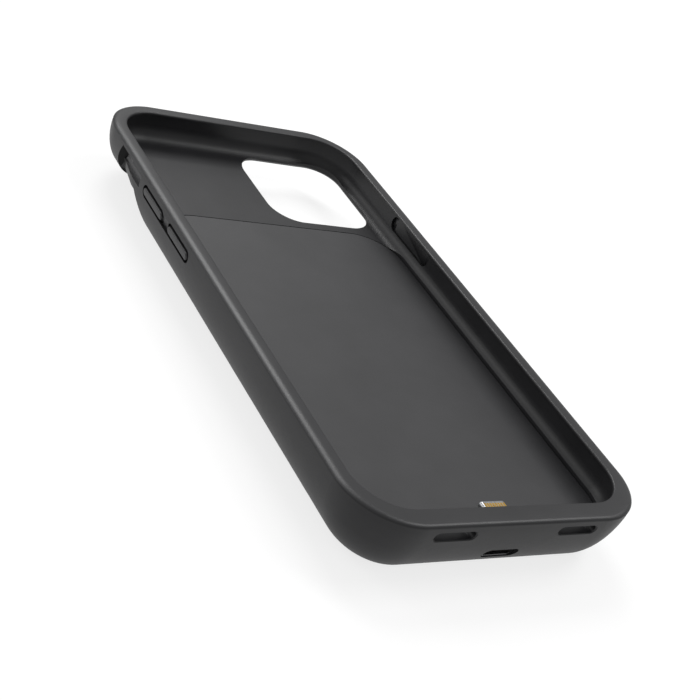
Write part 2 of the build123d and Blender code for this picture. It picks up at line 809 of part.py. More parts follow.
# Battery cell: pouch with rounded edges and a thin sealed terrace towards the main board
with BuildPart() as battery_cell:
    with BuildSketch(Plane.XY.offset(cell_under)):
        with Locations((0, cell_y)):
            RectangleRounded(cell_width, cell_length, cell_corner)
    extrude(amount=cell_thickness)
    fillet(battery_cell.edges().group_by(Axis.Z)[-1], cell_edge)
    fillet(battery_cell.edges().group_by(Axis.Z)[0], cell_edge)
    with BuildSketch(Plane.XY.offset(terrace_z)):
        with Locations((0, cell_low_y - terrace_length)):
            Rectangle(terrace_width, terrace_length + cell_edge, align=(Align.CENTER, Align.MIN))
    extrude(amount=terrace_thickness)
battery_cell.part.label = "battery_cell"
export_step(battery_cell.part, "parts/battery_cell.step")

# Battery tape: double-sided pad between the cell and the back
with BuildPart() as battery_tape:
    with BuildSketch(Plane.XY.offset(back_wall)):
        with Locations((0, cell_y)):
            RectangleRounded(tape_width, tape_length, cell_corner)
    extrude(amount=tape_thickness)
battery_tape.part.label = "battery_tape"
export_step(battery_tape.part, "parts/battery_tape.step")

# Protection board on the cell's terrace
with BuildPart() as battery_board:
    with BuildSketch(Plane.XY.offset(cell_board_under)):
        with Locations((0, cell_low_y - terrace_length)):
            Rectangle(cell_board_width, cell_board_length, align=(Align.CENTER, Align.MIN))
    extrude(amount=cell_board_thickness)
battery_board.part.label = "battery_board"
export_step(battery_board.part, "parts/battery_board.step")

# Battery leads: two wires from the protection board up onto the main board
lead_rise = lead_diameter / 2 + fit_gap
lead_start_y = cell_low_y - terrace_length + cell_board_length
lead_end_y = board_y + board_length / 2 - lead_reach
for name, across in (("battery_lead_positive", lead_x), ("battery_lead_negative", -lead_x)):
    with BuildPart() as lead:
        with BuildLine() as route:
            FilletPolyline(
                (across, lead_start_y, cell_board_top + lead_rise),
                (across, cell_low_y - terrace_length, cell_board_top + lead_rise),
                (across, board_y + board_length / 2, board_top + lead_rise),
                (across, lead_end_y, board_top + lead_rise),
                radius=lead_bend,
            )
        with BuildSketch(Plane(route.line @ 0, z_dir=route.line % 0)):
            Circle(lead_diameter / 2)
        sweep()
    lead.part.label = name
    export_step(lead.part, f"parts/{name}.step")
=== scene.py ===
from math import acos, asin, copysign, cos, pi, sin, sqrt

import bmesh
import bpy
from mathutils import Matrix, Vector


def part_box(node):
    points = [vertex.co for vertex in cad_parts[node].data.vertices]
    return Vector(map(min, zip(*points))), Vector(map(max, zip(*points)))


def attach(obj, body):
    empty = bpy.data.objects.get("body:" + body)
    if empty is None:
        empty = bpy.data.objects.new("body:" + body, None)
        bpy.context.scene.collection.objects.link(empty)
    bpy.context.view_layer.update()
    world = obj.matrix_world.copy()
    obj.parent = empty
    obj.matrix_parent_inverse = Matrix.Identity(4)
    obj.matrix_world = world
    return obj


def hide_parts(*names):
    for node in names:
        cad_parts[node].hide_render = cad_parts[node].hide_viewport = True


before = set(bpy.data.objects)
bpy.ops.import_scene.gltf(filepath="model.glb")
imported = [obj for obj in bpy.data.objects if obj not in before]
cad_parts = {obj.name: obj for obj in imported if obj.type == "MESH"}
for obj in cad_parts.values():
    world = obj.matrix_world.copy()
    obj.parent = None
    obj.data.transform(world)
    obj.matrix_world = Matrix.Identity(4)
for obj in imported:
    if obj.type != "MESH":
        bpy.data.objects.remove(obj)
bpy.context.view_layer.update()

# Outer shell: one injection moulding of polycarbonate, with the walls, the battery bulge and the ramp.
# It leaves the mould with a fine spark-eroded grain and is then sprayed with a soft-touch lacquer.


def linear(code):
    """An sRGB hex colour as the linear values that a shader socket takes."""
    parts = [int(code[i:i + 2], 16) / 255 for i in (1, 3, 5)]
    return (*[p / 12.92 if p <= 0.04045 else ((p + 0.055) / 1.055) ** 2.4 for p in parts], 1.0)


def per_mm(size):
    """The scale that gives a pattern features of a size in millimetres, on coordinates in metres."""
    return 1000 / size


def add_node(tree, kind, values=(), links=(), **settings):
    """Adds one node to a tree with its settings, the values of its sockets and the links into them."""
    made = tree.nodes.new(kind)
    for name, value in settings.items():
        setattr(made, name, value)
    for socket, value in dict(values).items():
        made.inputs[socket].default_value = value
    for socket, output in dict(links).items():
        tree.links.new(output, made.inputs[socket])
    return made


def start_material(name, **values):
    """A new material with the sockets of its Principled shader set."""
    material = bpy.data.materials.new(name)
    material.use_nodes = True
    for socket, value in values.items():
        material.node_tree.nodes["Principled BSDF"].inputs[socket.replace("_", " ")].default_value = value
    return material


def finish_surface(material, shades, spread, tint, rough, grain, height, relief, strength):
    """Ends a surface: shades along one pattern, roughness along another, and relief in mm along a third."""
    tree = material.node_tree
    shader = tree.nodes["Principled BSDF"].inputs
    shade = add_node(tree, "ShaderNodeValToRGB", links={"Fac": tint})
    for stop, place, code in zip(shade.color_ramp.elements, spread, shades):
        stop.position = place
        stop.color = linear(code)
    sheen = add_node(tree, "ShaderNodeMapRange", {"To Min": rough[0], "To Max": rough[1]}, {"Value": grain})
    bump = add_node(tree, "ShaderNodeBump", {"Strength": strength, "Distance": relief / 1000},
                    {"Height": height})
    tree.links.new(shade.outputs["Color"], shader["Base Color"])
    tree.links.new(sheen.outputs["Result"], shader["Roughness"])
    tree.links.new(bump.outputs["Normal"], shader["Normal"])


def mould_surface(material, shades, cloud, grain, rough, relief):
    """A moulded face: two near shades in clouds, and a grain that roughens and lifts it. Sizes in mm."""
    tree = material.node_tree
    spot = add_node(tree, "ShaderNodeTexCoord").outputs["Object"]
    clouds = add_node(tree, "ShaderNodeTexNoise", {"Scale": per_mm(cloud), "Detail": 3}, {"Vector": spot})
    grains = add_node(tree, "ShaderNodeTexNoise", {"Scale": per_mm(grain), "Detail": 2}, {"Vector": spot})
    finish_surface(material, shades, (0.3, 0.7), clouds.outputs["Fac"], rough, grains.outputs["Fac"],
                   grains.outputs["Fac"], relief, strength=0.3)


def dress(material, *names):
    """Puts a material on every slot of these CAD nodes."""
    for name in names:
        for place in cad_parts[name].material_slots:
            place.material = material


# The lacquer gives a dark charcoal that mirrors little, with a wide, soft highlight and a faint cloudiness.
# The grain is 0.1 mm on the real one, and is drawn at 0.3 mm so that it shows.
soft_touch_shell = start_material("soft_touch_lacquered_polycarbonate", IOR=1.5, Specular_IOR_Level=0.42)
mould_surface(soft_touch_shell, ("#202022", "#272729"), cloud=9, grain=0.3, rough=(0.38, 0.5), relief=0.012)
dress(soft_touch_shell, "outer_shell")

# Painted shade: the steep end of the switch scoop is painted near-black and made rougher, in place of the
# shade that falls in that recess.
# It lies in the wall, under the rim, on the near side of the scoop's slanting end, and fades out over 3 mm.
end_point = (-0.03795, 0.0557, 0.0137)
end_slope = (0.8, 1.0, 0.56)
end_slack = 0.00004
fade_start = -0.0045
fade_end = -0.0015
rim_foot = 0.01372
wall_inside = -0.0356
bay_floor = 0.0067
edge_inside = -0.033
painted_shade_roughness = 0.85
tree = soft_touch_shell.node_tree
shader = tree.nodes["Principled BSDF"].inputs
spot = add_node(tree, "ShaderNodeTexCoord").outputs["Object"]
axes = add_node(tree, "ShaderNodeSeparateXYZ", links={0: spot}).outputs
from_end = add_node(tree, "ShaderNodeVectorMath", {1: end_point}, {0: spot}, operation="SUBTRACT")
past_end = add_node(tree, "ShaderNodeVectorMath", {1: end_slope}, {0: from_end.outputs["Vector"]},
                    operation="DOT_PRODUCT").outputs["Value"]
fade = add_node(tree, "ShaderNodeMapRange", {"From Min": fade_start, "From Max": fade_end},
                {"Value": past_end})
near_side = add_node(tree, "ShaderNodeMath", {1: end_slack}, {0: past_end}, operation="LESS_THAN")
under_rim = add_node(tree, "ShaderNodeMath", {1: rim_foot}, {0: axes["Z"]}, operation="LESS_THAN")
in_wall = add_node(tree, "ShaderNodeMath", {1: wall_inside}, {0: axes["X"]}, operation="LESS_THAN")
under_bay = add_node(tree, "ShaderNodeMath", {1: bay_floor}, {0: axes["Z"]}, operation="LESS_THAN")
at_edge = add_node(tree, "ShaderNodeMath", {1: edge_inside}, {0: axes["X"]}, operation="LESS_THAN")
under_edge = add_node(tree, "ShaderNodeMath", links={0: under_bay.outputs[0], 1: at_edge.outputs[0]},
                      operation="MULTIPLY")
outside = add_node(tree, "ShaderNodeMath", links={0: in_wall.outputs[0], 1: under_edge.outputs[0]},
                   operation="MAXIMUM")
# The mask of the painted shade at the scoop's end: 1 inside it, fading to 0 over 3 mm.
scoop_painted_shade = fade.outputs["Result"]
for part in (near_side, under_rim, outside):
    both = add_node(tree, "ShaderNodeMath", links={0: scoop_painted_shade, 1: part.outputs[0]}, operation="MULTIPLY")
    scoop_painted_shade = both.outputs[0]
# Painted shade: inside the mask the lacquer's colour is mixed toward near-black, and its roughness is raised.
lacquer = shader["Base Color"].links[0].from_socket
lacquer_and_painted_shade = add_node(tree, "ShaderNodeMixRGB", {"Color2": linear("#0b0b0c")}, {"Fac": scoop_painted_shade, "Color1": lacquer})
tree.links.new(lacquer_and_painted_shade.outputs["Color"], shader["Base Color"])
satin = shader["Roughness"].links[0].from_socket
dull = add_node(tree, "ShaderNodeMath", {1: painted_shade_roughness}, {0: scoop_painted_shade}, operation="MULTIPLY")
finish = add_node(tree, "ShaderNodeMath", links={0: satin, 1: dull.outputs[0]}, operation="MAXIMUM")
tree.links.new(finish.outputs[0], shader["Roughness"])

# Side keys: two short pills for volume in the left wall and a long one in the right wall.
# Each is a polycarbonate moulding, pushed into its slot from the bay and held by the flange behind the skin.
# It has the grain of the mould but no lacquer, so it is a shade darker and a little sharper in its shine.
key_polycarbonate = start_material("spark_grained_polycarbonate", IOR=1.58, Specular_IOR_Level=0.45)
mould_surface(key_polycarbonate, ("#1e1e20", "#242426"), cloud=4, grain=0.25, rough=(0.34, 0.44), relief=0.01)


def keep_mesh(name, edit, material):
    """Keeps an edited mesh as an object at the origin, with one material."""
    mesh = bpy.data.meshes.new(name)
    edit.to_mesh(mesh)
    edit.free()
    mesh.materials.append(material)
    made = bpy.data.objects.new(name, mesh)
    bpy.context.scene.collection.objects.link(made)
    return made


# The face of each cap stands 0.25 mm proud of the wall and follows its ellipse from the flat back to the rim.
# Its edge is rounder than the solid's and its sides stand in by a draft, so the dark gap shows all round.
wall_reach = 0.0083
wall_rise = 0.0141
cap_root = 0.0372
cap_sink = 0.00005
cap_draft = 0.00025
cap_edge = 0.00045
solid_edge = 0.00025
edge_gain = cap_edge - solid_edge
flange_reach = 0.0006
merge_gap = 1e-7
flat_facing = 0.99
cap_crease_angle = 0.6
for node, body in (
    ("volume_up_button", "volume_up_key"),
    ("volume_down_button", "volume_down_key"),
    ("side_button", "side_key"),
):
    cap_edit = bmesh.new()
    cap_edit.from_mesh(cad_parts[node].data)
    bmesh.ops.remove_doubles(cap_edit, verts=cap_edit.verts, dist=merge_gap)
    low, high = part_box(node)
    middle = (low + high) / 2
    cap_face = max(abs(low.x), abs(high.x))
    half_height = (high.z - low.z) / 2 - flange_reach
    half_spine = (high.y - low.y) / 2 - flange_reach - half_height
    for point in cap_edit.verts:
        if abs(point.co.x) > cap_root:
            turn = acos(max(1 - (cap_face - abs(point.co.x)) / solid_edge, 0))
            inset = edge_gain * (1 - sin(turn)) + cap_draft
            drop = max(wall_rise - point.co.z, 0) / wall_rise
            sink = wall_reach * (1 - sqrt(1 - drop**2)) + cap_sink + edge_gain * (1 - cos(turn))
            along = min(max(point.co.y - middle.y, -half_spine), half_spine)
            outward = Vector((0, point.co.y - middle.y - along, point.co.z - middle.z))
            point.co -= outward.normalized() * inset
            point.co.x -= copysign(sink, point.co.x)
    cap = keep_mesh(node + "_moulding", cap_edit, key_polycarbonate)
    for face in cap.data.polygons:
        face.use_smooth = abs(face.normal.x) < flat_facing or abs(face.center.x) > cap_root
    cap.data.set_sharp_from_angle(angle=cap_crease_angle)
    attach(cap, body)
    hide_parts(node)

# Light guide: one acrylic moulding on the inside of the back, with four pips that fill the holes.
# It is tinted milky so that a lamp fills a pip evenly, and it is held by two dots of glue.
# It looks white and smooth, with a little depth.
guide_acrylic = start_material("milky_acrylic_moulded", IOR=1.49, Transmission_Weight=0.35)
mould_surface(guide_acrylic, ("#d9dad6", "#e8e8e4"), cloud=1.5, grain=0.2, rough=(0.22, 0.34), relief=0.004)
dress(guide_acrylic, "light_guide")

# Power button: a pill in the dish of the back, moulded with the same grain as the side keys.
# A flange keeps it behind the back, and its stem reaches up to the switch on the board.
dress(key_polycarbonate, "power_button")

# Main board: glass-fibre laminate with copper tracks under a green solder mask, on four bosses of the shell.
# The tracks lift the mask a little, so the board shows fine parallel lines under a wet-looking gloss.


def board_surface(material, shades, track):
    """A film over tracks of a pitch in mm: lighter and raised along the copper, with tiny duller spots."""
    tree = material.node_tree
    spot = add_node(tree, "ShaderNodeTexCoord").outputs["Object"]
    wave_length = 2 * pi / (10 * sqrt(2))  # between two diagonal bands of a Wave node, at a scale of 1
    lines = add_node(tree, "ShaderNodeTexWave",
                     {"Scale": per_mm(track) * wave_length, "Distortion": 3.0, "Detail": 1},
                     {"Vector": spot}, bands_direction="DIAGONAL")
    spots = add_node(tree, "ShaderNodeTexNoise", {"Scale": per_mm(0.35), "Detail": 2}, {"Vector": spot})
    finish_surface(material, shades, (0.45, 0.55), lines.outputs["Fac"], (0.22, 0.34), spots.outputs["Fac"],
                   lines.outputs["Fac"], relief=0.03, strength=0.4)


green_solder_mask = start_material("green_solder_mask_on_laminate", IOR=1.52)
board_surface(green_solder_mask, ("#0c3a22", "#145232"), track=0.8)
dress(green_solder_mask, "main_board")

# Power switch and lamps: soldered under the main board, over the power button and the light guide.
# The switch is a stamped can of tinned steel with a plunger, pale and softly bright.
# Each lamp is a block of pale yellow epoxy resin, smooth and slightly clear.


def drawn_surface(material, shades, line, length, rough, relief):
    """Metal with fine lines along the case, a line's width and length in mm, in two near shades."""
    tree = material.node_tree
    spot = add_node(tree, "ShaderNodeTexCoord").outputs["Object"]
    stretch = add_node(tree, "ShaderNodeMapping", {"Scale": (per_mm(line), per_mm(length), per_mm(line))},
                       {"Vector": spot})
    lines = add_node(tree, "ShaderNodeTexNoise", {"Scale": 1.0, "Detail": 3},
                     {"Vector": stretch.outputs["Vector"]})
    finish_surface(material, shades, (0.35, 0.65), lines.outputs["Fac"], rough, lines.outputs["Fac"],
                   lines.outputs["Fac"], relief, strength=0.2)


stamped_can = start_material("stamped_tinned_steel", Metallic=1.0)
drawn_surface(stamped_can, ("#b4b4b2", "#c6c6c4"), line=0.1, length=0.8, rough=(0.3, 0.42), relief=0.003)
dress(stamped_can, "power_switch")
lamp_resin = start_material("pale_epoxy_lamp_resin", IOR=1.53, Transmission_Weight=0.15)
mould_surface(lamp_resin, ("#d2c894", "#e2dab0"), cloud=0.6, grain=0.15, rough=(0.2, 0.3), relief=0.003)
dress(lamp_resin, "status_leds")

# Chips, inductor and capacitors: picked and placed on the front of the main board and soldered there.
# The chips are moulded in filled epoxy, a dull near-black. The inductor is pressed ferrite, a rough grey.
# The capacitors are fired ceramic, a smooth tan.
chip_epoxy = start_material("moulded_black_epoxy", IOR=1.55, Specular_IOR_Level=0.4)
mould_surface(chip_epoxy, ("#161617", "#1b1b1c"), cloud=1.5, grain=0.12, rough=(0.42, 0.56), relief=0.006)
dress(chip_epoxy, "charge_controller", "boost_controller")
pressed_ferrite = start_material("pressed_grey_ferrite", IOR=1.8, Specular_IOR_Level=0.4)
mould_surface(pressed_ferrite, ("#3a3b3d", "#47484a"), cloud=0.8, grain=0.18, rough=(0.5, 0.66), relief=0.01)
dress(pressed_ferrite, "power_inductor")
tan_ceramic = start_material("fired_tan_ceramic", IOR=1.7, Specular_IOR_Level=0.45)
mould_surface(tan_ceramic, ("#8f7250", "#a3845e"), cloud=0.5, grain=0.1, rough=(0.34, 0.46), relief=0.003)
dress(tan_ceramic, "filter_capacitors")

# Capacitor ends: a cap on each end of every block, plated with tin, which the solder wets.
# Plated tin is pale, a little grey and softly bright.


def start_tree(name, inputs):
    """A new tree of Geometry Nodes with named inputs, and its inputs and its output node."""
    tree = bpy.data.node_groups.new(name, "GeometryNodeTree")
    tree.interface.new_socket(name="Geometry", in_out="OUTPUT", socket_type="NodeSocketGeometry")
    for label, kind in inputs.items():
        tree.interface.new_socket(name=label, in_out="INPUT", socket_type="NodeSocket" + kind)
    return tree, add_node(tree, "NodeGroupInput").outputs, add_node(tree, "NodeGroupOutput")


def both_sides(tree, geometry, reach):
    """The same geometry twice, moved one way and the other."""
    back = add_node(tree, "ShaderNodeVectorMath", {1: (-1, -1, -1)}, {0: reach}, operation="MULTIPLY")
    pair = add_node(tree, "GeometryNodeJoinGeometry")
    for way in (reach, back.outputs["Vector"]):
        moved = add_node(tree, "GeometryNodeTransform", links={"Geometry": geometry, "Translation": way})
        tree.links.new(moved.outputs["Geometry"], pair.inputs["Geometry"])
    return pair.outputs["Geometry"]


def finish_tree(tree, out, geometry, place, material):
    """Ends a tree: all of it moved to its place, its instances made real, and one material on it."""
    placed = add_node(tree, "GeometryNodeTransform", links={"Geometry": geometry, "Translation": place})
    real = add_node(tree, "GeometryNodeRealizeInstances", links={"Geometry": placed.outputs["Geometry"]})
    painted = add_node(tree, "GeometryNodeSetMaterial", {"Material": material},
                       {"Geometry": real.outputs["Geometry"]})
    tree.links.new(painted.outputs["Geometry"], out.inputs["Geometry"])


def lay_out(name, tree, sizes, body):
    """Runs a tree of Geometry Nodes with these sizes and keeps its mesh as a piece that rides on a body."""
    blank = bpy.data.objects.new(name + "_blank", bpy.data.meshes.new(name + "_blank"))
    bpy.context.scene.collection.objects.link(blank)
    run = blank.modifiers.new(name, "NODES")
    run.node_group = tree
    for item in tree.interface.items_tree:
        if item.in_out == "INPUT":
            run[item.identifier] = sizes[item.name]
    ready = blank.evaluated_get(bpy.context.evaluated_depsgraph_get())
    mesh = bpy.data.meshes.new_from_object(ready)
    mesh.name = name
    blank.modifiers.remove(run)
    bpy.data.objects.remove(blank)
    piece = bpy.data.objects.new(name, mesh)
    bpy.context.scene.collection.objects.link(piece)
    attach(piece, body)


plated_tin = start_material("plated_matte_tin", Metallic=1.0)
drawn_surface(plated_tin, ("#bdbdb9", "#cfcfcb"), line=0.08, length=0.2, rough=(0.32, 0.46), relief=0.002)
tree, given, out = start_tree("capacitor_ends", {
    "Columns": "Int", "Rows": "Int", "Span": "Vector", "Cap": "Vector", "Reach": "Vector", "Place": "Vector",
})
span = add_node(tree, "ShaderNodeSeparateXYZ", links={0: given["Span"]}).outputs
blocks = add_node(tree, "GeometryNodeMeshGrid", links={
    "Size X": span["X"], "Size Y": span["Y"], "Vertices X": given["Columns"], "Vertices Y": given["Rows"],
})
cap_block = add_node(tree, "GeometryNodeMeshCube", links={"Size": given["Cap"]})
ends = both_sides(tree, cap_block.outputs["Mesh"], given["Reach"])
caps = add_node(tree, "GeometryNodeInstanceOnPoints", links={
    "Points": blocks.outputs["Mesh"], "Instance": ends,
})
finish_tree(tree, out, caps.outputs["Instances"], given["Place"], plated_tin)
cap_lift = 0.00001
low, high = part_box("filter_capacitors")
middle = (low + high) / 2
lay_out("capacitor_ends", tree, {
    "Columns": 5,
    "Rows": 2,
    "Span": (0.0104, 0.0026, 0),
    "Cap": (0.0004, 0.00084, 0.00084),
    "Reach": (0.00061, 0, 0),
    "Place": (middle.x, middle.y, middle.z + cap_lift),
}, "case")

# Inductor winding: enamelled copper wire, wound in the waist of the ferrite before it is soldered down.
# The enamel is a clear amber coat, so the copper looks deep orange and bright.
enamelled_copper = start_material("enamelled_copper_wire", Metallic=1.0)
drawn_surface(enamelled_copper, ("#a8552a", "#bf6a38"), line=0.1, length=0.5, rough=(0.22, 0.32),
              relief=0.002)
tree, given, out = start_tree("inductor_winding", {
    "Turns": "Float", "Radius": "Float", "Rise": "Float", "Wire": "Float", "Place": "Vector",
})
coil = add_node(tree, "GeometryNodeCurveSpiral", {"Resolution": 48}, {
    "Rotations": given["Turns"], "Start Radius": given["Radius"], "End Radius": given["Radius"],
    "Height": given["Rise"],
})
section = add_node(tree, "GeometryNodeCurvePrimitiveCircle", {"Resolution": 10}, {"Radius": given["Wire"]})
wire = add_node(tree, "GeometryNodeCurveToMesh", {"Fill Caps": True}, {
    "Curve": coil.outputs["Curve"], "Profile Curve": section.outputs["Curve"],
})
finish_tree(tree, out, wire.outputs["Mesh"], given["Place"], enamelled_copper)
waist_height = 0.00044
low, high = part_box("power_inductor")
middle = (low + high) / 2
lay_out("inductor_winding", tree, {
    "Turns": 3.0,
    "Radius": 0.00268,
    "Rise": 0.00028,
    "Wire": 0.00007,
    "Place": (middle.x, middle.y, low.z + waist_height),
}, "case")

# Board screws: four small pan heads, turned down into the bosses of the shell.
# They are zinc-plated steel, so they are a cool grey with short fine marks.
zinc_plated_steel = start_material("zinc_plated_steel", Metallic=1.0)
drawn_surface(zinc_plated_steel, ("#a9abad", "#babcbe"), line=0.12, length=0.3, rough=(0.28, 0.4),
              relief=0.003)
dress(zinc_plated_steel, "board_screws")

# Charge port: a drawn stainless sleeve on two feet, with a moulded insulator pressed in from behind.
# The sleeve shows fine draw lines along its depth and a bright mouth. The insulator is a dull black.
drawn_stainless = start_material("drawn_stainless_sheet", Metallic=1.0)
drawn_surface(drawn_stainless, ("#8f9092", "#a5a6a8"), line=0.12, length=2.5, rough=(0.26, 0.38),
              relief=0.004)
dress(drawn_stainless, "charge_port_shell")
port_polymer = start_material("moulded_black_liquid_crystal_polymer", IOR=1.6, Specular_IOR_Level=0.4)
mould_surface(port_polymer, ("#141415", "#19191a"), cloud=0.8, grain=0.12, rough=(0.4, 0.52), relief=0.004)
dress(port_polymer, "charge_port_tongue")

# Port contacts: twelve gold-plated springs on each face of the tongue, moulded into it.
# Thin gold over nickel is a warm pale yellow with a bright, finely streaked shine.
gold_plate = start_material("gold_plate_over_nickel", Metallic=1.0)
drawn_surface(gold_plate, ("#d3a548", "#e4bd68"), line=0.06, length=0.9, rough=(0.2, 0.32), relief=0.002)
tree, given, out = start_tree("port_contacts", {
    "Count": "Int", "Pitch": "Vector", "Pad": "Vector", "Face": "Vector", "Place": "Vector",
})
row = add_node(tree, "GeometryNodeMeshLine", links={"Count": given["Count"], "Offset": given["Pitch"]},
               mode="OFFSET")
pad = add_node(tree, "GeometryNodeMeshCube", links={"Size": given["Pad"]})
pads = add_node(tree, "GeometryNodeInstanceOnPoints", links={
    "Points": row.outputs["Mesh"], "Instance": pad.outputs["Mesh"],
})
rows = both_sides(tree, pads.outputs["Instances"], given["Face"])
finish_tree(tree, out, rows, given["Place"], gold_plate)
contact_count = 12
contact_pitch = 0.0005
contact_setback = 0.0023
low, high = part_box("charge_port_tongue")
lay_out("port_contacts", tree, {
    "Count": contact_count,
    "Pitch": (contact_pitch, 0, 0),
    "Pad": (0.00028, 0.0034, 0.00004),
    "Face": (0, 0, 0.00036),
    "Place": (-contact_pitch * (contact_count - 1) / 2, low.y + contact_setback, (low.z + high.z) / 2),
}, "case")

# Battery: a lithium pouch on a pad of double-sided foam tape, with its protection board on its terrace.
# The pouch is an aluminium laminate, heat-sealed round the windings, so its satin face is faintly dimpled.
pouch_laminate = start_material("heat_sealed_aluminium_laminate", Metallic=0.9)
tree = pouch_laminate.node_tree
spot = add_node(tree, "ShaderNodeTexCoord").outputs["Object"]
dimples = add_node(tree, "ShaderNodeTexNoise", {"Scale": per_mm(7), "Detail": 2}, {"Vector": spot})
grains = add_node(tree, "ShaderNodeTexNoise", {"Scale": per_mm(0.3), "Detail": 2}, {"Vector": spot})
finish_surface(pouch_laminate, ("#a9abae", "#b9bbbe"), (0.35, 0.65), grains.outputs["Fac"], (0.34, 0.48),
               grains.outputs["Fac"], dimples.outputs["Fac"], relief=0.2, strength=0.5)
dress(pouch_laminate, "battery_cell")

# The tape is white closed-cell foam, whose cut cells of about 0.2 mm make it dull and speckled.
# The protection board has the same laminate and mask as the main board.
cell_foam = start_material("closed_cell_foam_tape", IOR=1.45, Specular_IOR_Level=0.3)
mould_surface(cell_foam, ("#dcdcd8", "#eeeeea"), cloud=0.5, grain=0.2, rough=(0.75, 0.9), relief=0.05)
dress(cell_foam, "battery_tape")
dress(green_solder_mask, "battery_board")

# Battery leads: stranded copper in a silicone cover, soldered to the protection board and to the main board.
# Silicone has a dull, slightly powdery skin.
red_silicone = start_material("red_silicone_wire_cover", IOR=1.43, Specular_IOR_Level=0.4)
mould_surface(red_silicone, ("#8f1a18", "#a3211e"), cloud=1.2, grain=0.12, rough=(0.42, 0.54), relief=0.006)
dress(red_silicone, "battery_lead_positive")
black_silicone = start_material("black_silicone_wire_cover", IOR=1.43, Specular_IOR_Level=0.4)
mould_surface(black_silicone, ("#19191a", "#202021"), cloud=1.2, grain=0.12, rough=(0.42, 0.54), relief=0.006)
dress(black_silicone, "battery_lead_negative")

# Solder joints: where each lead ends, a drop of solder that has spread over the bare strands and the pad.
# Tin solder sets with the same softly bright skin as the plated ends of the capacitors.
tree, given, out = start_tree("solder_joints", {"Gap": "Vector", "Drop": "Vector", "Place": "Vector"})
pair = add_node(tree, "GeometryNodeMeshLine", {"Count": 2}, {"Offset": given["Gap"]}, mode="OFFSET")
ball = add_node(tree, "GeometryNodeMeshUVSphere", {"Segments": 20, "Rings": 12, "Radius": 1.0})
drop = add_node(tree, "GeometryNodeTransform", links={
    "Geometry": ball.outputs["Mesh"], "Scale": given["Drop"],
})
drops = add_node(tree, "GeometryNodeInstanceOnPoints", links={
    "Points": pair.outputs["Mesh"], "Instance": drop.outputs["Geometry"],
})
finish_tree(tree, out, drops.outputs["Instances"], given["Place"], plated_tin)
strand_sunk = 0.0001
drop_lift = 0.0001
low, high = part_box("battery_lead_positive")
lead_x = (low.x + high.x) / 2
for name, end_y, pad_z in (
    ("main_board_solder_joints", low.y + strand_sunk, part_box("main_board")[1].z),
    ("battery_board_solder_joints", high.y - strand_sunk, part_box("battery_board")[1].z),
):
    lay_out(name, tree, {
        "Gap": (2 * lead_x, 0, 0),
        "Drop": (0.0007, 0.0008, 0.0005),
        "Place": (-lead_x, end_y, pad_z + drop_lift),
    }, "case")

# Plug: a board that stands in the pocket of the chin, with a ribbon down to the main board.
# The ribbon is amber polyimide film with copper lines in it, folded once at each end, and has a smooth gloss.
dress(green_solder_mask, "plug_board")
amber_polyimide = start_material("amber_polyimide_film", IOR=1.7, Specular_IOR_Level=0.45)
board_surface(amber_polyimide, ("#7a3c10", "#a8602a"), track=0.5)
dress(amber_polyimide, "plug_flex")

# Plug tip: a bar of stainless steel, milled to a flat tab with round sides and brushed along its length.
# It has a fine silky shine, and the contacts in it are gold plate.
brushed_stainless = start_material("brushed_stainless_bar", Metallic=1.0)
drawn_surface(brushed_stainless, ("#a3a4a6", "#b9babc"), line=0.08, length=3.0, rough=(0.24, 0.36),
              relief=0.003)
dress(brushed_stainless, "plug_tip")
dress(gold_plate, "plug_contacts")

# Plug base: a charcoal polycarbonate block, glued into the mouth of the chin pocket round the tip.
# It has the spark grain of its mould, without lacquer.
dress(key_polycarbonate, "plug_base")

# Inner tray: a flat polycarbonate moulding, the floor of the bay, glued on a ledge round the battery space.
# It has a finer, flatter grain than the outside, and no lacquer, so it is a shade paler.
tray_polycarbonate = start_material("fine_grained_polycarbonate", IOR=1.58, Specular_IOR_Level=0.42)
mould_surface(tray_polycarbonate, ("#28282a", "#2f2f31"), cloud=12, grain=0.25, rough=(0.42, 0.54),
              relief=0.01)
dress(tray_polycarbonate, "inner_tray")

# Front frame: a soft thermoplastic elastomer, moulded onto the wall of the shell in a second shot.
# Its lip gives a little when the bay is filled. It is satin, and its crown carries the case's long highlight.
satin_elastomer = start_material("second_shot_thermoplastic_elastomer", IOR=1.5, Specular_IOR_Level=0.45)
mould_surface(satin_elastomer, ("#202022", "#262628"), cloud=9, grain=0.3, rough=(0.36, 0.46), relief=0.012)

# Its section goes round the case: an elliptical crown on the outside, and a flat lip with a round inner edge.
# Under the lip it follows the bay's outline, with a tongue that sits in the wall.
case_half_width = 0.03795
case_half_length = 0.07625
case_corner = 0.0145
bay_half_width = 0.03585
bay_chin = -0.07275
bay_far_end = 0.07415
bay_corner = 0.0124
corner_steps = 24
rim_top = 0.015
rim_under = 0.0141
crown_rise = 0.0012
crown_drop = 0.0005
side_crown = 0.0021
end_crown = 0.0012
crown_steps = 12
lip_reach = 0.0015
lip_under = 0.0144
lip_edge = 0.0004
edge_steps = 6
tongue_width = 0.001
tongue_foot = 0.0138
rim_crease_angle = 1.1


def rounded_ring(half_width, low_y, high_y, corner):
    """Points round a rectangle with round corners, the same number on each corner."""
    corners = ((1, high_y - corner), (-1, high_y - corner), (-1, low_y + corner), (1, low_y + corner))
    for quarter, (side, middle_y) in enumerate(corners):
        for step in range(corner_steps + 1):
            turn = (quarter + step / corner_steps) * pi / 2
            yield side * (half_width - corner) + corner * cos(turn), middle_y + corner * sin(turn)


def rim_ring(side_inset, end_inset):
    """The outer outline of the case, this far in at its sides and its ends."""
    end = case_half_length - end_inset
    return rounded_ring(case_half_width - side_inset, -end, end, case_corner - (side_inset + end_inset) / 2)


def bay_ring(outset):
    """The outline of the bay, this far out."""
    return rounded_ring(bay_half_width + outset, bay_chin - outset, bay_far_end + outset, bay_corner + outset)


